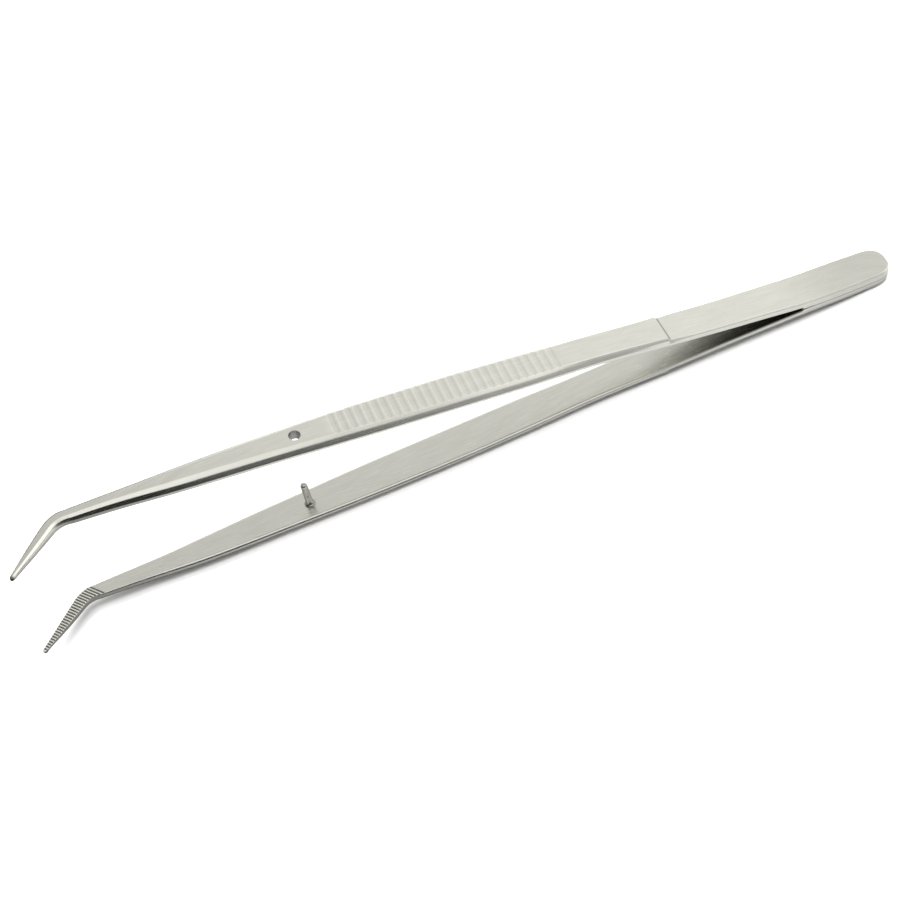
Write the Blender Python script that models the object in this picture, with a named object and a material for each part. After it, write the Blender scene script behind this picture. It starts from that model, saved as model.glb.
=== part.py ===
"""Bent-tip guide-pin forceps, built in metres, +Z up, head toward +X, tips toward -X and bent to -Y."""
import bpy
import bmesh
import math
from mathutils import Vector

MM = 0.001

# ---- driving dimensions, millimetres -------------------------------------------------
HEAD_END = 0.8             # stations are counted along one arm; the head ends here
TIP_UPPER = 199.8          # and the tips here
TIP_LOWER = 200.7
BEND_START_UPPER = 183.2   # where the jaw turns sideways
BEND_START_LOWER = 184.0
BEND_RADIUS = 5.5
BEND_UPPER = 42.5          # degrees, in the plane of the broad face
BEND_LOWER = 41.5
HEAD_ROUND = 4.6           # length of the rounded tongue end
SLIT_END = 23.3            # the two leaves part here
SLIT_RUN = 0.6             # length of the slit's blunt end
SPLIT = 38.0               # middle of the spring leaf, the place of the flexing joint
SPLIT_GAP = 0.30
LEAF_GAP = 0.15            # half of the seam between the welded leaves
STEP_AT = 54.6             # shoulder between spring leaf and handle
STEP_RUN = 0.35
HOLE_AT = 136.3            # guide hole and guide pin, same station on both arms
HOLE_RADIUS = 1.25
PIN_RADIUS = 0.80
PIN_HEIGHT = 7.2           # above the inner face of the lower arm
PIN_SEAT_CLEAR = 0.06
GROOVE_FROM = 80.0
GROOVE_TO = 128.0
GROOVE_COUNT = 27
GROOVE_DEPTH = 0.24
GROOVE_RADIUS = 0.75
SERRATION_PITCH = 0.61
SERRATION_COUNT = 27
SERRATION_DEPTH = 0.14
EDGE_CHAMFER = 0.18        # on the inner long edges
REST_CUT = 0.04            # the bow is dressed flat by this much where it carries the forceps on a table

# (station, value)
WIDTH = ((0.8, 7.7), (6.0, 8.1), (15.0, 8.55), (24.0, 8.45), (34.0, 8.1), (43.0, 7.85), (53.0, 7.75), (62.0, 7.7),
         (75.0, 7.95), (88.0, 8.55), (102.0, 8.75), (115.0, 8.6), (128.0, 8.15), (140.0, 7.35), (150.0, 6.7),
         (160.0, 5.75), (170.0, 4.35), (178.0, 3.5), (186.0, 2.8), (192.0, 2.15), (199.4, 1.2))
ARM_LINE = ((0.8, 0.10), (12.0, 0.10), (19.0, 0.16), (24.0, 0.36), (28.0, 0.68), (33.0, 1.12), (40.0, 1.70), (48.0, 2.50),
            (56.0, 3.40), (65.0, 4.33), (75.0, 5.28), (88.0, 6.45), (102.0, 7.72), (120.0, 9.08), (140.0, 10.46),
            (160.0, 11.60), (186.0, 12.50), (199.4, 12.80))
SIDEWAYS = ((0.8, -0.3), (24.0, -0.5), (40.0, -0.5), (55.0, -0.42), (75.0, -0.05), (100.0, -0.08), (125.0, -0.1),
            (145.0, -0.22), (165.0, -0.5), (186.0, -0.5), (199.4, -0.3))
THICK_LEAF = ((0.0, 1.5), (45.0, 1.5), (60.0, 1.5))
THICK_HANDLE = ((50.0, 2.05), (90.0, 2.25), (113.0, 2.45), (134.0, 2.6), (155.0, 2.7), (170.0, 2.6), (182.0, 2.3), (192.0, 1.7), (199.4, 1.0))
FLAT_INSET = ((0.0, 0.4), (50.0, 0.42), (60.0, 0.8), (74.0, 1.05), (85.0, 1.35), (130.0, 1.5), (145.0, 1.65),
              (157.0, 1.6), (165.0, 1.4), (173.0, 1.2), (182.0, 0.95), (188.0, 0.72), (193.0, 0.58), (200.0, 0.34))
SIDE_INSET = ((0.0, 0.08), (50.0, 0.1), (60.0, 0.3), (90.0, 0.6), (130.0, 0.66), (150.0, 0.74), (160.0, 0.66),
              (172.0, 0.42), (182.0, 0.2), (190.0, 0.12), (200.0, 0.07))
BEVEL_DROP = ((0.0, 0.26), (50.0, 0.28), (60.0, 0.5), (90.0, 0.62), (130.0, 0.70), (165.0, 0.70), (182.0, 0.62), (189.0, 0.45),
              (200.0, 0.28))
SIDE_RISE = ((0.0, 0.8), (50.0, 0.8), (60.0, 0.9), (80.0, 0.9), (130.0, 0.85), (160.0, 0.85), (176.0, 1.0), (183.0, 1.25),
             (188.0, 1.2), (193.0, 0.95), (200.0, 0.55))

STEEL = (0.60, 0.60, 0.57)


def smooth_table(table, s):
    """Monotone cubic through the table's points."""
    n = len(table)
    if s <= table[0][0]:
        return table[0][1]
    if s >= table[-1][0]:
        return table[-1][1]
    d = [(table[i + 1][1] - table[i][1]) / (table[i + 1][0] - table[i][0]) for i in range(n - 1)]
    m = [d[0]]
    for i in range(1, n - 1):
        m.append(0.0 if d[i - 1] * d[i] <= 0 else 2.0 * d[i - 1] * d[i] / (d[i - 1] + d[i]))
    m.append(d[-1])
    i = max(k for k in range(n - 1) if table[k][0] <= s)
    h = table[i + 1][0] - table[i][0]
    u = (s - table[i][0]) / h
    return ((1 + 2 * u) * (1 - u) ** 2 * table[i][1] + u * (1 - u) ** 2 * h * m[i]
            + u * u * (3 - 2 * u) * table[i + 1][1] + u * u * (u - 1) * h * m[i + 1])


def plate(p):
    """Thickness of the arm's own steel."""
    u = min(1.0, max(0.0, (p - STEP_AT + STEP_RUN / 2) / STEP_RUN))
    return (1 - u) * smooth_table(THICK_LEAF, p) + u * smooth_table(THICK_HANDLE, p)


def half_gap(p):
    """Distance from the middle plane to the inner face; the welded head is filled up to the seam."""
    u = min(1.0, max(0.0, (p - SLIT_END) / SLIT_RUN))
    return LEAF_GAP + u * smooth_table(ARM_LINE, p)


def bow(p):
    return LEAF_GAP + smooth_table(ARM_LINE, p) + plate(p)


# The forceps lie on the head's end and on the bow of the lower arm; the middle plane leans by that line's slope.
REST_AT = max((95.0 + k * 0.5 for k in range(71)), key=lambda p: (bow(p) - bow(HEAD_END)) / (p - HEAD_END))
LEAN = (bow(REST_AT) - REST_CUT - bow(HEAD_END)) / (REST_AT - HEAD_END)
ON_TABLE = [60.0 + k * 0.25 for k in range(400) if bow(60.0 + k * 0.25) > bow(HEAD_END) + LEAN * (59.2 + k * 0.25)]
REST_FROM, REST_TO = ON_TABLE[0], ON_TABLE[-1]


def outer(p):
    """Distance from the middle plane to the outer face."""
    if REST_FROM <= p <= REST_TO:
        return bow(HEAD_END) + LEAN * (p - HEAD_END)
    return bow(p)


def tip(side):
    return TIP_UPPER if side > 0 else TIP_LOWER


def thickness(p):
    return outer(p) - half_gap(p)


def width(p, side):
    w = smooth_table(WIDTH, p)
    if p < HEAD_END + HEAD_ROUND:
        c = 1.0 - max(0.0, p - HEAD_END) / HEAD_ROUND
        w *= max(0.0, 1.0 - c ** 2.6) ** (1 / 2.6)
    if p > tip(side) - 0.8:
        c = (p - tip(side) + 0.8) / 0.8
        w *= math.sqrt(max(0.0, 1.0 - 0.75 * c * c))
    return w


def path(p, side):
    """Point (distance, sideways) and heading on the arm's centre line."""
    shift = smooth_table(SIDEWAYS, p)
    start = BEND_START_UPPER if side > 0 else BEND_START_LOWER
    if p <= start:
        return p, shift, 0.0
    turn = math.radians(BEND_UPPER if side > 0 else BEND_LOWER)
    a = min(turn, (p - start) / BEND_RADIUS)
    x = start + BEND_RADIUS * math.sin(a)
    y = -BEND_RADIUS * (1 - math.cos(a))
    rest = p - start - BEND_RADIUS * turn
    if rest > 0:
        x += rest * math.cos(turn)
        y -= rest * math.sin(turn)
    return x, y + shift, a


TILT = math.atan(LEAN)
MID = 99.594               # station above the model's origin
SIDE = 3.066               # sideways distance from the origin to the arms' middle
FLOOR = outer(HEAD_END) * math.cos(TILT) + (MID - HEAD_END) * math.sin(TILT)


def place(x, y, z):
    """From (distance, sideways, opening) to the model frame in metres."""
    d = MID - x
    return Vector((d * math.cos(TILT) + z * math.sin(TILT), y + SIDE, -d * math.sin(TILT) + z * math.cos(TILT) + FLOOR)) * MM


def section(p, side):
    """Outline of the arm at p as (sideways, height above the inner face)."""
    w, t = width(p, side) / 2, thickness(p)
    b = min(smooth_table(FLAT_INSET, p), w * 0.75)
    e = min(smooth_table(SIDE_INSET, p), b * 0.7)
    d = min(smooth_table(BEVEL_DROP, p), t * 0.4)
    r = min(smooth_table(SIDE_RISE, p), (t - d) * 0.8)
    c = min(EDGE_CHAMFER, w * 0.3)
    half = [(w - c, 0.0), (w, c), (w, r), (w - e, t - d), (w - b, t)]
    return half + [(-a, h) for a, h in reversed(half)]


def stations(lo, hi, side):
    marks = [lo, hi]
    for k in range(1, 9):
        marks.append(HEAD_END + HEAD_ROUND * (1 - math.cos(math.radians(90.0 * k / 8))))
    marks += [10.0, 16.0, 20.0, SLIT_END, SLIT_END + SLIT_RUN, 26.0, 30.0, 34.0, 42.0, 46.0, 50.0, 53.0,
              STEP_AT - STEP_RUN / 2, STEP_AT + STEP_RUN / 2, 58.0, 62.0, 67.0, 73.0, 79.0, 85.0, 91.5,
              98.0, 104.0, REST_FROM, REST_TO, 124.0, 131.0, 141.0, 147.0, 153.0, 159.0, 165.0, 171.0, 177.0]
    start = BEND_START_UPPER if side > 0 else BEND_START_LOWER
    turn = BEND_RADIUS * math.radians(BEND_UPPER if side > 0 else BEND_LOWER)
    marks += [start + turn * k / 7 for k in range(8)]
    end = tip(side)
    marks += [189.5, 192.5, 195.5, end - 0.8, end - 0.35, end - 0.1]
    marks = sorted(m for m in marks if lo - 1e-6 <= m <= hi + 1e-6)
    out = [marks[0]]
    for m in marks[1:]:
        if m - out[-1] > 0.04:
            out.append(m)
    out[-1] = hi
    return out


def arm_point(p, a, h, side):
    x, y, turn = path(p, side)
    return place(x + a * math.sin(turn), y + a * math.cos(turn), side * (half_gap(p) + h))


def leave_scene_empty():
    for ob in list(bpy.data.objects):
        bpy.data.objects.remove(ob, do_unlink=True)


def steel(name, tone=1.0, rough=0.34):
    mat = bpy.data.materials.new(name)
    mat.use_nodes = True
    sh = mat.node_tree.nodes["Principled BSDF"]
    sh.inputs["Base Color"].default_value = (STEEL[0] * tone, STEEL[1] * tone, STEEL[2] * tone, 1.0)
    sh.inputs["Metallic"].default_value = 1.0
    sh.inputs["Roughness"].default_value = rough
    return mat


def new_object(name, bm, group, origin=Vector((0, 0, 0)), mat=None):
    bmesh.ops.translate(bm, vec=-origin, verts=bm.verts[:])
    bmesh.ops.recalc_face_normals(bm, faces=bm.faces[:])
    mesh = bpy.data.meshes.new(name)
    bm.to_mesh(mesh)
    bm.free()
    ob = bpy.data.objects.new(name, mesh)
    ob.location = origin
    group.objects.link(ob)
    if mat is not None:
        mesh.materials.append(mat)
    return ob


def loft(lo, hi, side):
    """Closed skin through the unlike sections of one arm between two stations."""
    bm = bmesh.new()
    rings = []
    for p in stations(lo, hi, side):
        rings.append([bm.verts.new(arm_point(p, a, h, side)) for a, h in section(p, side)])
    n = len(rings[0])
    for r0, r1 in zip(rings, rings[1:]):
        for i in range(n):
            j = (i + 1) % n
            bm.faces.new((r0[i], r0[j], r1[j], r1[i]))
    bm.faces.new(rings[0])
    bm.faces.new(rings[-1])
    return bm


def groove_cutters(side):
    """Round bars laid across the outer face, one for each grip groove."""
    bm = bmesh.new()
    for k in range(GROOVE_COUNT):
        p = GROOVE_FROM + (GROOVE_TO - GROOVE_FROM) * k / (GROOVE_COUNT - 1)
        lift = thickness(p) + GROOVE_RADIUS - GROOVE_DEPTH
        reach = width(p, side) / 2 + 1.0
        ends = []
        for a in (-reach, reach):
            ring = []
            for q in range(12):
                ang = 2 * math.pi * (q + 0.5) / 12
                x, y, turn = path(p, side)
                ring.append(bm.verts.new(place(x + GROOVE_RADIUS * math.cos(ang), y + a,
                                               side * (half_gap(p) + lift + GROOVE_RADIUS * math.sin(ang)))))
            ends.append(ring)
        for q in range(12):
            r = (q + 1) % 12
            bm.faces.new((ends[0][q], ends[0][r], ends[1][r], ends[1][q]))
        bm.faces.new(ends[0])
        bm.faces.new(ends[1])
    return bm


def serration_marks(side):
    """Stations where the teeth, all square to the bent jaw, cross the arm's centre line."""
    turn = math.radians(BEND_UPPER if side > 0 else BEND_LOWER)
    p = tip(side) - 0.78
    marks = []
    want = None
    for k in range(SERRATION_COUNT):
        while True:
            x, y, _ = path(p, side)
            along = x * math.cos(turn) - y * math.sin(turn)
            if want is None or along <= want:
                break
            p -= 0.01
        marks.append(p)
        want = (along if want is None else want) - SERRATION_PITCH
    return marks


def serration_cutters(side):
    """Three-sided bars laid across the inner face of the jaw."""
    bm = bmesh.new()
    skew = math.radians(BEND_UPPER if side > 0 else BEND_LOWER)
    pitch = SERRATION_PITCH
    for p in serration_marks(side):
        x, y, turn = path(p, side)
        reach = width(p, side) / 2 / math.cos(skew - turn) + 0.5
        ends = []
        for a in (-reach, reach):
            ring = []
            for along, h in ((-pitch * 0.27, -0.03), (pitch * 0.27, -0.03), (0.0, SERRATION_DEPTH)):
                px = x + along * math.cos(skew) + a * math.sin(skew)
                py = y - along * math.sin(skew) + a * math.cos(skew)
                ring.append(bm.verts.new(place(px, py, side * (half_gap(p) + h))))
            ends.append(ring)
        for q in range(3):
            r = (q + 1) % 3
            bm.faces.new((ends[0][q], ends[0][r], ends[1][r], ends[1][q]))
        bm.faces.new(ends[0])
        bm.faces.new(ends[1])
    return bm


def face_normal(p, side):
    """Unit direction out of the inner face at p, toward the other arm."""
    d = 0.5
    a = arm_point(p - d, 0.0, 0.0, side)
    b = arm_point(p + d, 0.0, 0.0, side)
    run = (b - a).normalized()
    out = Vector((0, 1, 0)).cross(run)
    if out.z * side > 0:
        out = -out
    return out.normalized()


def bar(name, foot, direction, radius, length, group, segments=24):
    bpy.ops.mesh.primitive_cylinder_add(vertices=segments, radius=radius * MM, depth=length * MM)
    ob = bpy.context.object
    ob.name = name
    ob.data.name = name
    ob.rotation_euler = direction.to_track_quat("Z", "Y").to_euler()
    ob.location = foot + direction * (length * MM / 2)
    for c in list(ob.users_collection):
        c.objects.unlink(ob)
    group.objects.link(ob)
    return ob


def cut(ob, cutter):
    mod = ob.modifiers.new("cut_" + cutter.name, "BOOLEAN")
    mod.operation = "DIFFERENCE"
    mod.solver = "EXACT"
    mod.object = cutter


def main():
    leave_scene_empty()
    parts = bpy.data.collections.new("bent_tip_forceps")
    cutters = bpy.data.collections.new("cutters")
    bpy.context.scene.collection.children.link(parts)
    bpy.context.scene.collection.children.link(cutters)

    edge = SPLIT_GAP / 2
    for label, side in (("upper", 1), ("lower", -1)):
        head = loft(HEAD_END + HEAD_ROUND * 0.012, SPLIT - edge, side)
        new_object(label + "_head_leaf", head, parts, mat=steel(label + "_head_steel"))

        hinge = arm_point(SPLIT, 0.0, thickness(SPLIT) / 2, side)
        arm = new_object(label + "_arm", loft(SPLIT + edge, tip(side) - 0.1, side), parts, hinge, steel(label + "_arm_steel"))

        inward = face_normal(HOLE_AT, side)
        foot = arm_point(HOLE_AT, 0.0, 0.0, side)
        radius = HOLE_RADIUS if side > 0 else PIN_RADIUS + PIN_SEAT_CLEAR
        tools = [bar(label + "_hole_cutter", foot - inward * 4.0 * MM, inward, radius, 6.0, cutters),
                 new_object(label + "_groove_cutter", groove_cutters(side), cutters),
                 new_object(label + "_serration_cutter", serration_cutters(side), cutters)]
        for tool in tools:
            tool.hide_render = True
            tool.display_type = "WIRE"
            cut(arm, tool)

    # guide pin: a turned peg riveted through the lower arm, top end rounded over
    inward = face_normal(HOLE_AT, -1)
    foot = arm_point(HOLE_AT, 0.0, 0.0, -1)
    seat = thickness(HOLE_AT) - 0.25
    profile = [(PIN_RADIUS, 0.0), (PIN_RADIUS, seat + PIN_HEIGHT - PIN_RADIUS * 0.7)]
    for k in range(1, 5):
        a = math.radians(90.0 * k / 5)
        profile.append((PIN_RADIUS * math.cos(a), seat + PIN_HEIGHT - PIN_RADIUS * 0.7 * (1 - math.sin(a))))
    bm = bmesh.new()
    rings = []
    for r, h in profile:
        rings.append([bm.verts.new((r * MM * math.cos(2 * math.pi * q / 20), r * MM * math.sin(2 * math.pi * q / 20), h * MM))
                      for q in range(20)])
    for r0, r1 in zip(rings, rings[1:]):
        for q in range(20):
            bm.faces.new((r0[q], r0[(q + 1) % 20], r1[(q + 1) % 20], r1[q]))
    bm.faces.new(rings[0])
    bm.faces.new(rings[-1])
    pin = new_object("guide_pin", bm, parts, mat=steel("guide_pin_steel", 0.9, 0.25))
    pin.rotation_euler = inward.to_track_quat("Z", "Y").to_euler()
    pin.location = foot - inward * seat * MM
    for poly in pin.data.polygons:
        poly.use_smooth = True


main()
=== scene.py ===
"""Looks of the bent-tip guide-pin forceps: two satin steel arms, welded at the head, and a turned guide pin."""
import bpy
import bmesh
import math
from mathutils import Matrix, Vector


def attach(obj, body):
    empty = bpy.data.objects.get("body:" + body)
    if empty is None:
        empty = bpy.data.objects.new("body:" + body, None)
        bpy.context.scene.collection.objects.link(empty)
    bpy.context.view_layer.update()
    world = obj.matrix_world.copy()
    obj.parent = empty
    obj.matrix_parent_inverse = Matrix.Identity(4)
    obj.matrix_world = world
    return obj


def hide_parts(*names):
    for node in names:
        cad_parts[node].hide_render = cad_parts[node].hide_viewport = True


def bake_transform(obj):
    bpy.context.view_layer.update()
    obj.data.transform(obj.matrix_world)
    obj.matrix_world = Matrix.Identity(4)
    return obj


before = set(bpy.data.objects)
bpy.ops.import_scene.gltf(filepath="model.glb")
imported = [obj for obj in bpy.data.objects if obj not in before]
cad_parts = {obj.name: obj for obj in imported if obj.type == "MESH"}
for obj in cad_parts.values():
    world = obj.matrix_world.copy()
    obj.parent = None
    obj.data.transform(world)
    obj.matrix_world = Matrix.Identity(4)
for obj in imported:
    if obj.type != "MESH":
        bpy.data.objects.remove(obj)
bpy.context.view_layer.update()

MM = 0.001

# ---- dimensions in millimetres, the same stations as the CAD -------------------------
HEAD_END = 0.8
TIP = {1: 199.8, -1: 200.7}
BEND_START = {1: 183.2, -1: 184.0}
BEND_TURN = {1: math.radians(42.5), -1: math.radians(41.5)}
BEND_RADIUS = 5.5
HEAD_ROUND = 4.6
TIP_ROUND = 0.55
SLIT_END = 23.3
SLIT_RUN = 0.6
LEAF_GAP = 0.15
SEAM = 0.02                # half of the welded seam that still shows
STEP_AT = 55.2
STEP_RUN = 0.35
HOLE_AT = 136.3
HOLE_RADIUS = 1.25
PIN_RADIUS = 0.80
PIN_HEIGHT = 7.2
GROOVE_FROM, GROOVE_TO, GROOVE_COUNT = 80.0, 128.0, 27
GROOVE_DEPTH = 0.06
GROOVE_HALF = 0.76
SERRATION_PITCH, SERRATION_COUNT = 0.61, 27
SERRATION_DEPTH = 0.17
EDGE_CHAMFER = ((0.0, 0.18), (58.0, 0.18), (75.0, 0.42), (160.0, 0.42), (182.0, 0.2), (200.0, 0.12))
EDGE_ROUND = ((0.0, 0.06), (58.0, 0.06), (75.0, 0.29), (160.0, 0.29), (182.0, 0.08), (200.0, 0.04))
REST_CUT = 0.04            # the bow is dressed flat by this much where it lies on the table

MID, SIDE = 99.594, 3.066

WIDTH = ((0.8, 7.7), (6.0, 8.1), (15.0, 8.55), (24.0, 8.45), (34.0, 8.1), (43.0, 7.85), (53.0, 7.75), (62.0, 7.7),
         (75.0, 7.95), (88.0, 8.55), (102.0, 8.75), (115.0, 8.6), (128.0, 8.15), (140.0, 7.35), (150.0, 6.7),
         (160.0, 5.75), (170.0, 4.35), (178.0, 3.5), (186.0, 2.8), (192.0, 2.1), (199.4, 0.98))
ARM_LINE = ((0.8, 0.10), (12.0, 0.10), (19.0, 0.16), (24.0, 0.36), (28.0, 0.68), (33.0, 1.12), (40.0, 1.70), (48.0, 2.50),
            (56.0, 3.40), (65.0, 4.33), (75.0, 5.28), (88.0, 6.45), (102.0, 7.72), (120.0, 9.08), (140.0, 10.46),
            (160.0, 11.60), (186.0, 12.50), (199.4, 12.80))
SIDEWAYS = ((0.8, -0.3), (24.0, -0.5), (40.0, -0.5), (55.0, -0.42), (75.0, -0.05), (100.0, -0.08), (125.0, -0.1),
            (145.0, -0.22), (165.0, -0.5), (186.0, -0.5), (199.4, -0.3))
THICK_LEAF = ((0.0, 1.5), (45.0, 1.5), (60.0, 1.5))
THICK_HANDLE = ((50.0, 2.05), (90.0, 2.25), (113.0, 2.45), (134.0, 2.6), (155.0, 2.7), (170.0, 2.6), (182.0, 2.3), (192.0, 1.7), (199.4, 1.0))
FLAT_INSET = ((0.0, 0.4), (50.0, 0.42), (60.0, 0.8), (74.0, 1.05), (85.0, 1.35), (130.0, 1.5), (145.0, 1.65),
              (157.0, 1.6), (165.0, 1.4), (173.0, 1.2), (182.0, 0.95), (188.0, 0.72), (193.0, 0.58), (200.0, 0.34))
SIDE_INSET = ((0.0, 0.08), (50.0, 0.1), (60.0, 0.3), (90.0, 0.6), (130.0, 0.66), (150.0, 0.70), (160.0, 0.62),
              (172.0, 0.5), (182.0, 0.36), (190.0, 0.15), (200.0, 0.07))
BEVEL_DROP = ((0.0, 0.26), (50.0, 0.28), (60.0, 0.5), (90.0, 0.62), (130.0, 0.72), (158.0, 0.70), (168.0, 0.58), (182.0, 0.46), (189.0, 0.40),
              (200.0, 0.28))
SIDE_RISE = ((0.0, 0.8), (50.0, 0.8), (60.0, 0.9), (80.0, 0.9), (130.0, 0.95), (150.0, 1.1), (165.0, 1.15), (176.0, 1.1), (183.0, 1.1),
             (188.0, 1.1), (193.0, 0.95), (200.0, 0.55))
CORNER = ((0.0, 0.07), (54.0, 0.07), (62.0, 0.2), (80.0, 0.28), (150.0, 0.26), (165.0, 0.14), (178.0, 0.06), (200.0, 0.05))   # rounding of the long edges


def table(points, s):
    """Monotone cubic through the table's points."""
    n = len(points)
    if s <= points[0][0]:
        return points[0][1]
    if s >= points[-1][0]:
        return points[-1][1]
    d = [(points[i + 1][1] - points[i][1]) / (points[i + 1][0] - points[i][0]) for i in range(n - 1)]
    m = [d[0]]
    for i in range(1, n - 1):
        m.append(0.0 if d[i - 1] * d[i] <= 0 else 2.0 * d[i - 1] * d[i] / (d[i - 1] + d[i]))
    m.append(d[-1])
    i = max(k for k in range(n - 1) if points[k][0] <= s)
    h = points[i + 1][0] - points[i][0]
    u = (s - points[i][0]) / h
    return ((1 + 2 * u) * (1 - u) ** 2 * points[i][1] + u * (1 - u) ** 2 * h * m[i]
            + u * u * (3 - 2 * u) * points[i + 1][1] + u * u * (u - 1) * h * m[i + 1])


def smooth(u):
    u = min(1.0, max(0.0, u))
    return u * u * (3 - 2 * u)


def plate(p):
    u = smooth((p - STEP_AT + STEP_RUN / 2) / STEP_RUN)
    return (1 - u) * table(THICK_LEAF, p) + u * table(THICK_HANDLE, p)


def half_gap(p):
    """Distance from the middle plane to the inner face; the welded head closes to a fine seam."""
    u = min(1.0, max(0.0, (p - SLIT_END) / SLIT_RUN))
    return SEAM + math.sqrt(1 - (1 - u) ** 2) * (LEAF_GAP - SEAM + table(ARM_LINE, p))


def bow(p):
    return LEAF_GAP + table(ARM_LINE, p) + plate(p)


# The forceps lie on the head's end and on the bow of the lower arm; the middle plane leans by that line's slope.
REST_AT = max((95.0 + k * 0.5 for k in range(71)), key=lambda p: (bow(p) - bow(HEAD_END)) / (p - HEAD_END))
LEAN = (bow(REST_AT) - REST_CUT - bow(HEAD_END)) / (REST_AT - HEAD_END)
ON_TABLE = [60.0 + k * 0.25 for k in range(400) if bow(60.0 + k * 0.25) > bow(HEAD_END) + LEAN * (59.2 + k * 0.25)]
REST_FROM, REST_TO = ON_TABLE[0], ON_TABLE[-1]
TILT = math.atan(LEAN)
FLOOR = bow(HEAD_END) * math.cos(TILT) + (MID - HEAD_END) * math.sin(TILT)


def outer(p):
    """Distance from the middle plane to the outer face."""
    if REST_FROM <= p <= REST_TO:
        return bow(HEAD_END) + LEAN * (p - HEAD_END)
    return bow(p)


def thickness(p):
    return outer(p) - half_gap(p)


def width(p, side):
    w = table(WIDTH, p)
    if p < HEAD_END + HEAD_ROUND:
        c = 1.0 - max(0.0, p - HEAD_END) / HEAD_ROUND
        w *= max(0.0, 1.0 - c ** 2.6) ** (1 / 2.6)
    if p > TIP[side] - 0.1 - TIP_ROUND:
        c = (p - TIP[side] + 0.1 + TIP_ROUND) / TIP_ROUND
        w *= math.sqrt(max(0.0, 1.0 - c * c))
    return w


def path(p, side):
    shift = table(SIDEWAYS, p)
    start = BEND_START[side]
    if p <= start:
        return p, shift, 0.0
    turn = BEND_TURN[side]
    a = min(turn, (p - start) / BEND_RADIUS)
    x = start + BEND_RADIUS * math.sin(a)
    y = -BEND_RADIUS * (1 - math.cos(a))
    rest = p - start - BEND_RADIUS * turn
    if rest > 0:
        x += rest * math.cos(turn)
        y -= rest * math.sin(turn)
    return x, y + shift, a


def place(x, y, z):
    d = MID - x
    return Vector((d * math.cos(TILT) + z * math.sin(TILT), y + SIDE, -d * math.sin(TILT) + z * math.cos(TILT) + FLOOR)) * MM


def arm_point(p, a, h, side):
    """A section stands square to the arm, and along the jaw it turns parallel to the teeth."""
    x, y, turn = path(p, side)
    heading = turn + smooth((p - 166.0) / 12.0) * (BEND_TURN[side] - turn)
    a = a / math.cos(heading - turn)
    return place(x + a * math.sin(heading), y + a * math.cos(heading), side * (half_gap(p) + h))


def inward(p, side):
    """Unit direction out of the inner face, toward the other arm."""
    run = (arm_point(p + 0.5, 0, 0, side) - arm_point(p - 0.5, 0, 0, side)).normalized()
    out = Vector((0, 1, 0)).cross(run)
    return (-out if out.z * side > 0 else out).normalized()


# ---- one section of an arm -------------------------------------------------------------

def bend_corner(prev, at, nxt, cut, n):
    """Points round a corner, from one flank to the other."""
    l0 = math.dist(prev, at) or 1e-9
    l1 = math.dist(at, nxt) or 1e-9
    k = min(cut, 0.45 * l0, 0.45 * l1)
    p0 = [at[i] + (prev[i] - at[i]) * k / l0 for i in (0, 1)]
    p1 = [at[i] + (nxt[i] - at[i]) * k / l1 for i in (0, 1)]
    out = []
    for q in range(n):
        u = q / (n - 1)
        out.append(tuple((1 - u) ** 2 * p0[i] + 2 * u * (1 - u) * at[i] + u * u * p1[i] for i in (0, 1)))
    return out


def between(a, b, n):
    return [tuple(a[i] + (b[i] - a[i]) * k / (n + 1) for i in (0, 1)) for k in range(1, n + 1)]


INNER_STEPS = (0.0, 0.2, 0.4, 0.6, 0.78, 0.92, 0.985)
FLAT_STEPS = (0.99, 0.965, 0.935, 0.9, 0.86, 0.81, 0.74, 0.64, 0.5, 0.34, 0.17, 0.0)


def half_section(p, side):
    """From the middle of the inner face round one long edge to the middle of the outer face."""
    w, t = width(p, side) / 2, thickness(p)
    b = min(table(FLAT_INSET, p), w * 0.75)
    e = min(table(SIDE_INSET, p), b * 0.7)
    d = min(table(BEVEL_DROP, p), t * 0.4)
    r = min(table(SIDE_RISE, p), (t - d) * 0.8)
    c = min(table(EDGE_CHAMFER, p), w * 0.3)
    soft_edge = table(EDGE_ROUND, p)
    if p < SLIT_END:
        c = min(c, 0.05 + (c - 0.05) * smooth((p - SLIT_END + 4.0) / 4.0))
    q = [(w - c, 0.0), (w, c), (w, r), (w - e, t - d), (w - b, t)]
    first, last = (0.0, 0.0), (0.0, t)
    k0 = bend_corner(first, q[0], q[1], soft_edge, 4)
    k1 = bend_corner(q[0], q[1], q[2], 0.06, 4)
    round_by = table(CORNER, p)
    k2 = bend_corner(q[1], q[2], q[3], round_by, 5)
    k3 = bend_corner(q[2], q[3], q[4], round_by, 5)
    k4 = bend_corner(q[3], q[4], last, round_by * 0.8, 5)
    out = [(k0[0][0] * s, 0.0) for s in INNER_STEPS] + k0 + k1 + between(k1[-1], k2[0], 1) + k2 + between(k2[-1], k3[0], 3)
    out += k3 + between(k3[-1], k4[0], 5) + k4 + [(k4[-1][0] * s, t) for s in FLAT_STEPS]
    return out


INNER_COUNT = len(INNER_STEPS) + 4 + 2      # points of the half section that serrations reach
ROOF_FROM = len(INNER_STEPS) + 4 + 4 + 1    # first point that end rounding and grooves reach


def end_outline(side):
    """The arm's plan outline near its two ends, for the bevel that runs round them."""
    out = []
    hi_tip = TIP[side] - 0.1
    for lo, hi, n in ((HEAD_END, HEAD_END + HEAD_ROUND + 3.0, 160), (hi_tip - TIP_ROUND - 1.0, hi_tip, 80)):
        for k in range(n + 1):
            u = k / n
            u = u * u if lo < 50 else 1 - (1 - u) ** 2
            p = lo + (hi - lo) * u
            out.append((p, width(p, side) / 2))
    return out


OUTLINE = {1: end_outline(1), -1: end_outline(-1)}


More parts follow.
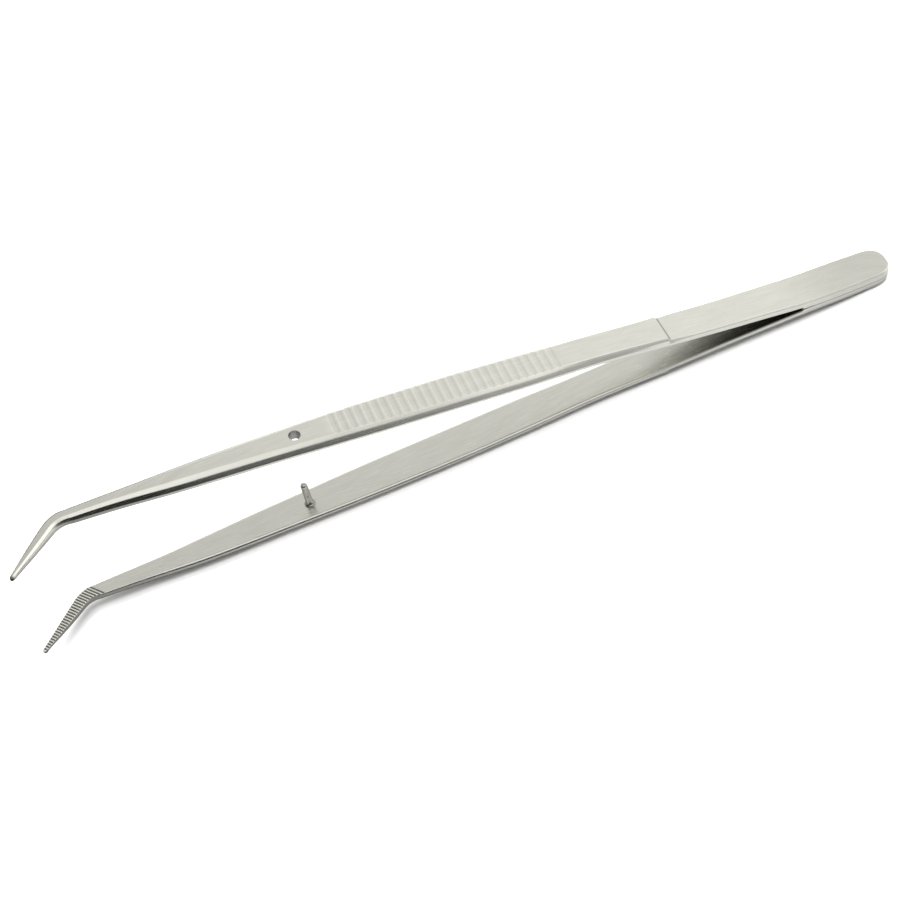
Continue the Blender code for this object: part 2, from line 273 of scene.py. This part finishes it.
def edge_distance(p, a, side):
    a = abs(a)
    best = 99.0
    for q, w in OUTLINE[side]:
        if abs(q - p) < 3.0:
            best = min(best, math.hypot(q - p, w - a))
    return best


def groove_cut(p, a, flat):
    """Depth of the grip's milled channels: a crisp wall on the tip side, a soft one on the head side, round ends."""
    pitch = (GROOVE_TO - GROOVE_FROM) / (GROOVE_COUNT - 1)
    k = min(GROOVE_COUNT - 1, max(0, round((p - GROOVE_FROM) / pitch)))
    dp = (p - (GROOVE_FROM + pitch * k)) / GROOVE_HALF
    over = max(0.0, abs(a) - (flat + 0.15 - GROOVE_HALF)) / GROOVE_HALF
    r = math.hypot(dp, over)
    if r >= 1.0:
        return 0.0
    wall = smooth((1.0 - r) / 0.24)
    if dp < 0:
        wall = min(wall, smooth((1.0 + dp) / 0.75))
    return GROOVE_DEPTH * wall


def along_jaw(p, side):
    """Distance of a centre-line point measured along the bent jaw."""
    x, y, _ = path(p, side)
    return x * math.cos(BEND_TURN[side]) - y * math.sin(BEND_TURN[side])


def jaw_station(target, side):
    lo, hi = 160.0, TIP[side]
    for _ in range(40):
        mid = (lo + hi) / 2
        if along_jaw(mid, side) < target:
            lo = mid
        else:
            hi = mid
    return (lo + hi) / 2


LAST_TOOTH = {side: along_jaw(TIP[side] - 0.78, side) for side in (1, -1)}


def serration_cut(p, side):
    at = (LAST_TOOTH[side] - along_jaw(p, side)) / SERRATION_PITCH
    k = min(SERRATION_COUNT - 1, max(0, round(at)))
    lean = at - k
    return SERRATION_DEPTH * max(0.0, 1.0 - (lean / 0.34 if lean > 0 else -lean / 0.56))


def step_cut(p):
    """Fine grinding line at the foot of the shoulder."""
    return 0.13 * max(0.0, 1.0 - abs(p - STEP_AT + 0.36) / 0.17)


def ring(p, side):
    """Closed section at p as (sideways, height)."""
    half = half_section(p, side)
    w, t = width(p, side) / 2, thickness(p)
    b = min(table(FLAT_INSET, p), w * 0.75)
    near_end = p < HEAD_END + HEAD_ROUND + 1.2 or p > TIP[side] - 2.0
    grip = GROOVE_FROM - 1.2 < p < GROOVE_TO + 1.2
    teeth = p > 165.0
    pts = []
    for i, (a, h) in enumerate(half):
        if near_end and i >= ROOF_FROM:
            far = edge_distance(p, a, side)
            full_b, full_e = table(FLAT_INSET, p), table(SIDE_INSET, p)
            d, r = min(table(BEVEL_DROP, p), t * 0.4), min(table(SIDE_RISE, p), t * 0.5)
            if far < full_e:
                roof = r + (t - d - r) * far / full_e
            elif far < full_b:
                roof = t - d + d * (far - full_e) / (full_b - full_e)
            else:
                roof = t
            h = min(h, roof)
        if grip and i >= ROOF_FROM:
            h -= groove_cut(p, a, w - b)
        if abs(p - STEP_AT) < 1.0 and i >= len(half) - len(FLAT_STEPS) - 5:
            h -= step_cut(p)
        if teeth and i < INNER_COUNT:
            h = max(h, serration_cut(p, side))
        pts.append((a, h))
    return pts + [(-a, h) for a, h in reversed(pts[1:-1])]


def stations(side):
    lo, hi = HEAD_END + 0.0006, TIP[side] - 0.1
    marks = [lo, hi]
    marks += [HEAD_END + x for x in (0.004, 0.012, 0.03, 0.06, 0.1, 0.16, 0.24, 0.33, 0.44, 0.56, 0.7, 0.9, 1.15, 1.45, 1.8, 2.2, 2.7, 3.3, 4.0, 4.8, 5.6)]
    marks += [8.0, 10.5, 13.0, 15.5, 18.0, 20.0, 21.0, 22.0, 22.7, 23.1]
    marks += [SLIT_END + SLIT_RUN * x for x in (-0.08, 0.0, 0.02, 0.05, 0.1, 0.16, 0.24, 0.34, 0.46, 0.6, 0.76, 1.0)]
    marks += [24.4, 25.2] + [26.5 + 1.5 * k for k in range(18)]
    marks += [STEP_AT - 1.2, STEP_AT - 0.7] + [STEP_AT - 0.53 + 0.0425 * k for k in range(17)] + [STEP_AT + x for x in (0.25, 0.35, 0.7, 1.2)]
    marks += [57.0 + 1.6 * k for k in range(15)]
    pitch = (GROOVE_TO - GROOVE_FROM) / (GROOVE_COUNT - 1)
    for k in range(GROOVE_COUNT):
        c = GROOVE_FROM + pitch * k
        marks += [c + GROOVE_HALF * f for f in (-1.0, -0.9, -0.75, -0.55, -0.35, 0.0, 0.4, 0.64, 0.76, 0.84, 0.9, 0.96, 1.0)]
    marks += [REST_FROM, REST_TO] + [130.0 + 1.5 * k for k in range(24)] + [166.0 + k for k in range(14)]
    for k in range(SERRATION_COUNT):
        marks += [jaw_station(LAST_TOOTH[side] - SERRATION_PITCH * (k + f), side) for f in (-0.56, -0.28, 0.0, 0.17, 0.34)]
    marks += [hi - x for x in (0.55, 0.45, 0.36, 0.28, 0.2, 0.13, 0.07, 0.03, 0.01, 0.002)]
    marks = sorted(m for m in marks if lo - 1e-9 <= m <= hi + 1e-9)
    out = [marks[0]]
    for m in marks[1:]:
        fine = m < 7 or m > hi - 0.6 or abs(m - SLIT_END) < 1
        if m - out[-1] > (0.0015 if fine else 0.03):
            out.append(m)
    out[-1] = hi
    return out


def build_arm(name, side):
    bm = bmesh.new()
    uv = bm.loops.layers.uv.new("flow")
    # Vertex colour that carries painted shade into the steel's base colour.
    painted_shade = bm.verts.layers.float_color.new("painted_shade")
    rows, flow = [], []
    for p in stations(side):
        pts = ring(p, side)
        rows.append([bm.verts.new(arm_point(p, a, h, side)) for a, h in pts])
        # Painted shade on the inner face: full near the slit, where the leaves shade each other, fading out by p =
        # 64; on the jaw it darkens the tooth bottoms.
        inner_shade = 1.0 - smooth((p - 36.0) / 28.0)
        if p > 165.0:
            inner_shade = 1.1 * serration_cut(p, side) / SERRATION_DEPTH
        # Painted shade on the outer faces: a little darker toward the head end, and dark over the last millimetre of
        # the tip.
        outer_shade = 0.30 * (1.0 - smooth((p - 6.0) / 26.0))
        for i, v in enumerate(rows[-1]):
            inside = i < INNER_COUNT or i > len(pts) - INNER_COUNT
            m = inner_shade if inside else max(outer_shade, smooth((p - TIP[side] + 1.1) / 0.6))
            v[painted_shade] = (m, m, m, 1.0)
        run, at = [0.0], 0.0
        for (a0, h0), (a1, h1) in zip(pts, pts[1:] + pts[:1]):
            at += math.hypot(a1 - a0, h1 - h0)
            run.append(at)
        flow.append((p, run))
    n = len(rows[0])
    for (r0, (p0, u0)), (r1, (p1, u1)) in zip(zip(rows, flow), zip(rows[1:], flow[1:])):
        for i in range(n):
            j = (i + 1) % n
            f = bm.faces.new((r0[i], r0[j], r1[j], r1[i]))
            f.smooth = True
            for loop, c in zip(f.loops, ((u0[i], p0), (u0[i + 1], p0), (u1[i + 1], p1), (u1[i], p1))):
                loop[uv].uv = (c[0] * 0.01, c[1] * 0.01)
    for row in (rows[0], rows[-1]):
        f = bm.faces.new(row)
        f.smooth = True
        for loop in f.loops:
            loop[uv].uv = (0.0, (HEAD_END if row is rows[0] else TIP[side]) * 0.01)
    bmesh.ops.recalc_face_normals(bm, faces=bm.faces[:])
    mesh = bpy.data.meshes.new(name)
    bm.to_mesh(mesh)
    bm.free()
    ob = bpy.data.objects.new(name, mesh)
    bpy.context.scene.collection.objects.link(ob)
    return ob


def turned(name, profile, foot, direction, count=48, close=True):
    """A lathe-turned solid from (radius, height) points in millimetres."""
    bm = bmesh.new()
    uv = bm.loops.layers.uv.new("flow")
    rows = []
    for r, h in profile:
        rows.append([bm.verts.new((r * math.cos(2 * math.pi * q / count), r * math.sin(2 * math.pi * q / count), h)) for q in range(count)])
    for k in range(len(rows) - 1):
        for q in range(count):
            j = (q + 1) % count
            f = bm.faces.new((rows[k][q], rows[k][j], rows[k + 1][j], rows[k + 1][q]))
            f.smooth = True
            for loop, (x, y) in zip(f.loops, ((q, k), (q + 1, k), (q + 1, k + 1), (q, k + 1))):
                loop[uv].uv = (x / count * 0.05, profile[y][1] * 0.01)
    for row in (rows[0], rows[-1]):
        bm.faces.new(row).smooth = True
    bmesh.ops.recalc_face_normals(bm, faces=bm.faces[:])
    mesh = bpy.data.meshes.new(name)
    turn = direction.to_track_quat("Z", "Y").to_matrix().to_4x4()
    bmesh.ops.transform(bm, matrix=Matrix.Translation(foot) @ turn @ Matrix.Scale(MM, 4), verts=bm.verts[:])
    bm.to_mesh(mesh)
    bm.free()
    ob = bpy.data.objects.new(name, mesh)
    bpy.context.scene.collection.objects.link(ob)
    return ob


def drill(ob, cutter, at):
    mod = ob.modifiers.new("drill", "BOOLEAN")
    mod.operation, mod.solver, mod.object = "DIFFERENCE", "EXACT", cutter
    bpy.context.view_layer.update()
    done = bpy.data.meshes.new_from_object(ob.evaluated_get(bpy.context.evaluated_depsgraph_get()))
    ob.modifiers.clear()
    ob.data = done
    # No painted shade round the hole.
    painted_shade = done.color_attributes["painted_shade"]
    for v in done.vertices:
        if (v.co - at).length < 5.0 * MM:
            painted_shade.data[v.index].color = (0.0, 0.0, 0.0, 1.0)
    bpy.data.objects.remove(cutter, do_unlink=True)


def finish_shading(ob, mat, angle=24.0, bore=None):
    """One material all over; a bore (axis point, axis, radius in mm, material) keeps its own."""
    ob.data.materials.clear()
    ob.data.materials.append(mat)
    if bore:
        ob.data.materials.append(bore[3])
    for poly in ob.data.polygons:
        poly.material_index = 0
        poly.use_smooth = True
        if bore:
            off = poly.center - bore[0]
            off -= bore[1] * off.dot(bore[1])
            if off.length < (bore[2] + 0.03) * MM and abs(poly.normal.dot(bore[1])) < 0.5:
                poly.material_index = 1
    ob.data.set_sharp_from_angle(angle=math.radians(angle))


# ---- materials --------------------------------------------------------------------------

def link(tree, a, b):
    tree.links.new(a, b)


def satin_steel(name, seed, tone=(0.64, 0.638, 0.588), rough=(0.19, 0.29), bump=0.03):
    """Stainless steel brushed along the arm: streaks, faint cloudiness and fine scratches from the flow map; a
    vertex colour darkens the base colour where shade is painted on.
    """
    mat = bpy.data.materials.new(name)
    mat.use_nodes = True
    t = mat.node_tree
    sh = t.nodes["Principled BSDF"]
    sh.inputs["Metallic"].default_value = 1.0
    uvn = t.nodes.new("ShaderNodeUVMap")
    uvn.uv_map = "flow"

    def noise(scale, stretch, detail, rough_, off):
        m = t.nodes.new("ShaderNodeMapping")
        m.inputs["Scale"].default_value = (scale, scale / stretch, 1.0)
        m.inputs["Location"].default_value = (off, off * 1.7, seed)
        n = t.nodes.new("ShaderNodeTexNoise")
        n.inputs["Scale"].default_value = 1.0
        n.inputs["Detail"].default_value = detail
        n.inputs["Roughness"].default_value = rough_
        link(t, uvn.outputs["UV"], m.inputs["Vector"])
        link(t, m.outputs["Vector"], n.inputs["Vector"])
        return n.outputs["Fac"]

    streak = noise(900.0, 60.0, 4.0, 0.6, 3.1)
    fine = noise(2600.0, 90.0, 2.0, 0.5, 7.7)
    cloud = noise(60.0, 4.0, 3.0, 0.5, 1.3)

    mix = t.nodes.new("ShaderNodeMath")
    mix.operation = "MULTIPLY_ADD"
    link(t, streak, mix.inputs[0])
    mix.inputs[1].default_value = 0.6
    half = t.nodes.new("ShaderNodeMath")
    half.operation = "MULTIPLY"
    link(t, cloud, half.inputs[0])
    half.inputs[1].default_value = 0.4
    link(t, half.outputs[0], mix.inputs[2])

    ramp = t.nodes.new("ShaderNodeValToRGB")
    ramp.color_ramp.elements[0].position = 0.28
    ramp.color_ramp.elements[1].position = 0.72
    ramp.color_ramp.elements[0].color = (tone[0] * 0.92, tone[1] * 0.92, tone[2] * 0.92, 1)
    ramp.color_ramp.elements[1].color = (tone[0] * 1.07, tone[1] * 1.07, tone[2] * 1.07, 1)
    link(t, mix.outputs[0], ramp.inputs["Fac"])
    # Painted shade: the vertex colour mixes the base colour toward 0.45 of the tone.
    shade_paint = t.nodes.new("ShaderNodeVertexColor")
    shade_paint.layer_name = "painted_shade"
    shade = t.nodes.new("ShaderNodeMix")
    shade.data_type = "RGBA"
    shade.inputs["B"].default_value = (tone[0] * 0.45, tone[1] * 0.45, tone[2] * 0.45, 1)
    link(t, shade_paint.outputs["Color"], shade.inputs["Factor"])
    link(t, ramp.outputs["Color"], shade.inputs["A"])
    link(t, shade.outputs["Result"], sh.inputs["Base Color"])

    rr = t.nodes.new("ShaderNodeMapRange")
    rr.inputs["From Min"].default_value = 0.3
    rr.inputs["From Max"].default_value = 0.7
    rr.inputs["To Min"].default_value = rough[0]
    rr.inputs["To Max"].default_value = rough[1]
    link(t, streak, rr.inputs["Value"])
    link(t, rr.outputs["Result"], sh.inputs["Roughness"])

    bp = t.nodes.new("ShaderNodeBump")
    bp.inputs["Strength"].default_value = bump
    bp.inputs["Distance"].default_value = 0.0002
    link(t, fine, bp.inputs["Height"])
    link(t, bp.outputs["Normal"], sh.inputs["Normal"])
    return mat


def pale_floor(name):
    """White paper; what the steel mirrors of it is dimmer toward the tips, painted shade for a floor lit less there.
    """
    mat = bpy.data.materials.new(name)
    mat.use_nodes = True
    t = mat.node_tree
    sh = t.nodes["Principled BSDF"]
    co = t.nodes.new("ShaderNodeTexCoord")
    xyz = t.nodes.new("ShaderNodeSeparateXYZ")
    link(t, co.outputs["Object"], xyz.inputs["Vector"])
    dim = t.nodes.new("ShaderNodeMapRange")
    dim.interpolation_type = "SMOOTHSTEP"
    for key, v in (("From Min", -0.10), ("From Max", -0.03), ("To Min", 0.17), ("To Max", 0.56)):
        dim.inputs[key].default_value = v
    link(t, xyz.outputs["X"], dim.inputs["Value"])
    # Painted shade seen only by glossy rays: the floor darker toward the tips.
    rays = t.nodes.new("ShaderNodeLightPath")
    pick = t.nodes.new("ShaderNodeMix")
    pick.data_type = "RGBA"
    pick.inputs["A"].default_value = (0.93, 0.93, 0.93, 1)
    link(t, rays.outputs["Is Glossy Ray"], pick.inputs["Factor"])
    link(t, dim.outputs["Result"], pick.inputs["B"])
    link(t, pick.outputs["Result"], sh.inputs["Base Color"])
    sh.inputs["Roughness"].default_value = 0.9
    sh.inputs["Specular IOR Level"].default_value = 0.0
    return mat


def room_reflection_card(name):
    """Card seen only in the steel's reflections, for the unlit room in front: a painted reflection that glows
    faintly, brighter toward the head.
    """
    mat = bpy.data.materials.new(name)
    mat.use_nodes = True
    t = mat.node_tree
    t.nodes.remove(t.nodes["Principled BSDF"])
    em = t.nodes.new("ShaderNodeEmission")
    co = t.nodes.new("ShaderNodeTexCoord")
    xyz = t.nodes.new("ShaderNodeSeparateXYZ")
    link(t, co.outputs["Object"], xyz.inputs["Vector"])
    rise = t.nodes.new("ShaderNodeMapRange")
    rise.interpolation_type = "SMOOTHSTEP"
    for key, v in (("From Min", -0.075), ("From Max", 0.115), ("To Min", 0.015), ("To Max", 0.62)):
        rise.inputs[key].default_value = v
    link(t, xyz.outputs["X"], rise.inputs["Value"])
    link(t, rise.outputs["Result"], em.inputs["Strength"])
    link(t, em.outputs[0], t.nodes["Material Output"].inputs["Surface"])
    return mat


# ---- pieces -----------------------------------------------------------------------------
upper = build_arm("upper_blade", 1)
lower = build_arm("lower_blade", -1)

for ob, side in ((upper, 1), (lower, -1)):
    into = inward(HOLE_AT, side)
    foot = arm_point(HOLE_AT, 0.0, 0.0, side)
    t = thickness(HOLE_AT)
    if side > 0:
        r = HOLE_RADIUS
        prof = [(r, -2.0), (r, t + 2.0)]
    else:
        r = PIN_RADIUS + 0.05
        prof = [(r, -1.0), (r, t - 0.10), (r + 0.10, t), (r + 0.6, t + 0.5)]
    drill(ob, turned("drill_bit", prof, foot, -into, 40), foot)

into = inward(HOLE_AT, -1)
foot = arm_point(HOLE_AT, 0.0, 0.0, -1)
seat = thickness(HOLE_AT) - 0.05
R = PIN_RADIUS
prof = [(R * 0.55, -0.03), (R * 0.92, 0.02), (R, 0.12), (R, seat - 0.02), (R + 0.36, seat + 0.01), (R + 0.40, seat + 0.06),
        (R + 0.38, seat + 0.16), (R + 0.30, seat + 0.30), (R + 0.19, seat + 0.50), (R + 0.10, seat + 0.80), (R + 0.03, seat + 1.3),
        (R - 0.01, seat + 2.0), (R - 0.03, seat + 3.0), (R - 0.04, seat + 4.6), (R - 0.05, seat + PIN_HEIGHT - 0.75)]
for k in range(1, 9):
    a = math.radians(90.0 * k / 9)
    prof.append(((R - 0.05) * math.cos(a), seat + PIN_HEIGHT - 0.75 * (1 - math.sin(a))))
pin = turned("guide_peg", prof, foot - into * seat * MM, into, 48)

bore_foot = arm_point(HOLE_AT, 0.0, 0.0, 1)
# The bore wall takes a darker steel: painted shade inside the hole.
bore = (bore_foot, inward(HOLE_AT, 1), HOLE_RADIUS, satin_steel("bore_shaded_steel", 3.0, (0.36, 0.355, 0.34), (0.35, 0.5), 0.05))
finish_shading(upper, satin_steel("upper_satin_steel", 0.0), bore=bore)
finish_shading(lower, satin_steel("lower_satin_steel", 5.0))
finish_shading(pin, satin_steel("peg_bright_steel", 9.0, (0.47, 0.465, 0.44), (0.06, 0.11), 0.02), 50)

for ob, body, side, leaf, arm in ((upper, "upper", 1, "upper_head_leaf", "upper_arm"), (lower, "lower", -1, "lower_head_leaf", "lower_arm")):
    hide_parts(leaf, arm)
    tuple(arm_point(24.0, 0, 0, side))
    tuple(arm_point(53.0, 0, 0, side))
    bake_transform(ob)
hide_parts("guide_pin")
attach(pin, "lower")

# ---- stage ------------------------------------------------------------------------------
bpy.ops.mesh.primitive_circle_add(vertices=96, radius=1.5, fill_type="NGON", location=(0, 0, 0))
floor = bpy.context.object
floor.name = "floor"
floor.data.materials.append(pale_floor("pale_floor"))

# Painted reflection: a card seen only by glossy rays, standing for the dark room in front.
card_mesh = bpy.data.meshes.new("front_card")
card_mesh.from_pydata([(-0.6, -0.10, 0.0), (0.30, -0.10, 0.0), (0.30, -0.10, 0.105), (-0.6, -0.10, 0.105)], [], [(0, 1, 2, 3)])
card_mesh.materials.append(room_reflection_card("front_card"))
card = bpy.data.objects.new("front_card", card_mesh)
card.visible_camera = card.visible_diffuse = card.visible_shadow = card.visible_transmission = card.visible_volume_scatter = False
bpy.context.scene.collection.objects.link(card)


def studio_world():
    """White sweep brighter to the right, wide soft light above, unlit room in front and to the left."""
    world = bpy.data.worlds.new("studio")
    bpy.context.scene.world = world
    world.use_nodes = True
    t = world.node_tree
    back = t.nodes["Background"]
    out = t.nodes["World Output"]
    co = t.nodes.new("ShaderNodeTexCoord")
    xyz = t.nodes.new("ShaderNodeSeparateXYZ")
    link(t, co.outputs["Generated"], xyz.inputs["Vector"])

    def fade(socket, lo, hi, to_lo=0.0, to_hi=1.0, kind="SMOOTHSTEP"):
        n = t.nodes.new("ShaderNodeMapRange")
        n.interpolation_type = kind
        for key, v in (("From Min", lo), ("From Max", hi), ("To Min", to_lo), ("To Max", to_hi)):
            n.inputs[key].default_value = v
        link(t, socket, n.inputs["Value"])
        return n.outputs["Result"]

    def calc(kind, a, b):
        n = t.nodes.new("ShaderNodeMath")
        n.operation = kind
        for i, v in enumerate((a, b)):
            if isinstance(v, (int, float)):
                n.inputs[i].default_value = v
            else:
                link(t, v, n.inputs[i])
        return n.outputs[0]

    x, y, z = xyz.outputs["X"], xyz.outputs["Y"], xyz.outputs["Z"]

    def toward(direction, lo, hi):
        n = t.nodes.new("ShaderNodeVectorMath")
        n.operation = "DOT_PRODUCT"
        n.inputs[1].default_value = Vector(direction).normalized()
        link(t, co.outputs["Generated"], n.inputs[0])
        return fade(n.outputs["Value"], lo, hi)

    rays = t.nodes.new("ShaderNodeLightPath")
    sweep = fade(x, -0.3, 0.6, SWEEP_LEFT, SWEEP_RIGHT, "LINEAR")
    low = calc("MULTIPLY", fade(y, 0.5, 0.8), fade(z, 0.45, 0.1, 0.0, HORIZON))
    sweep = calc("ADD", sweep, calc("MULTIPLY", low, fade(x, 0.62, 0.42)))
    top = toward((-0.3, -0.55, 0.78), 0.79, 0.895)
    total = calc("ADD", calc("MULTIPLY", sweep, calc("SUBTRACT", 1.0, top)), calc("MULTIPLY", top, OVERHEAD))
    total = calc("ADD", total, calc("MULTIPLY", toward((0.88, -0.27, 0.40), 0.75, 0.93), WINDOW))
    room = calc("MULTIPLY", fade(y, 0.35, -0.15), fade(z, 0.66, 0.46))
    room = calc("MULTIPLY", room, calc("MAXIMUM", fade(x, 0.32, -0.12), rays.outputs["Is Diffuse Ray"]))
    total = calc("MULTIPLY", total, calc("SUBTRACT", 1.0, calc("MULTIPLY", room, 0.96)))
    above = calc("MULTIPLY", fade(z, 0.05, 0.65), calc("SUBTRACT", 1.0, calc("MULTIPLY", fade(y, 0.3, -0.1), fade(z, 0.95, 0.75, 0.0, 0.62))))
    total = calc("MULTIPLY", total, calc("MAXIMUM", above, calc("SUBTRACT", 1.0, rays.outputs["Is Diffuse Ray"])))
    back.inputs["Color"].default_value = (1.0, 1.0, 0.985, 1)
    link(t, total, back.inputs["Strength"])
    seen = t.nodes.new("ShaderNodeBackground")
    seen.inputs["Color"].default_value = (1, 1, 1, 1)
    seen.inputs["Strength"].default_value = 1.0
    mix = t.nodes.new("ShaderNodeMixShader")
    link(t, rays.outputs["Is Camera Ray"], mix.inputs[0])
    link(t, back.outputs[0], mix.inputs[1])
    link(t, seen.outputs[0], mix.inputs[2])
    link(t, mix.outputs[0], out.inputs["Surface"])


SWEEP_LEFT, SWEEP_RIGHT, HORIZON, OVERHEAD, WINDOW = 0.63, 1.17, 0.85, 1.32, 0.50
studio_world()

soft = bpy.data.lights.new("overhead_soft", "AREA")
soft.shape = "SQUARE"
soft.size = 0.9
soft.energy = 19.0
soft_ob = bpy.data.objects.new("overhead_soft", soft)
soft_ob.location = (0.04, 0.07, 1.1)
soft_ob.rotation_euler = (Vector((0, 0, 0)) - soft_ob.location).to_track_quat("-Z", "Y").to_euler()
soft_ob.visible_glossy = False
bpy.context.scene.collection.objects.link(soft_ob)

bpy.context.scene.view_settings.view_transform = "Standard"
bpy.context.scene.view_settings.look = "None"

# ---- camera -----------------------------------------------------------------------------
AZIMUTH, ELEVATION, ROLL = math.radians(-10.354), math.radians(53.944), math.radians(-14.635)
cam_data = bpy.data.cameras.new("camera")
cam = bpy.data.objects.new("camera", cam_data)
bpy.context.scene.collection.objects.link(cam)
backward = Vector((math.sin(AZIMUTH) * math.cos(ELEVATION), -math.cos(AZIMUTH) * math.cos(ELEVATION), math.sin(ELEVATION)))
right = Vector((math.cos(AZIMUTH), math.sin(AZIMUTH), 0.0))
up = backward.cross(right)
right, up = right * math.cos(ROLL) + up * math.sin(ROLL), up * math.cos(ROLL) - right * math.sin(ROLL)
turn = Matrix((right, up, backward)).transposed().to_4x4()
cam.matrix_world = Matrix.Translation(Vector((-6.962, -3.806, 10.0)) * MM + backward * 0.329907) @ turn
cam_data.sensor_width = 36.0
cam_data.lens = 64.173
cam_data.clip_start = 0.01
cam_data.clip_end = 50.0
bpy.context.scene.camera = cam
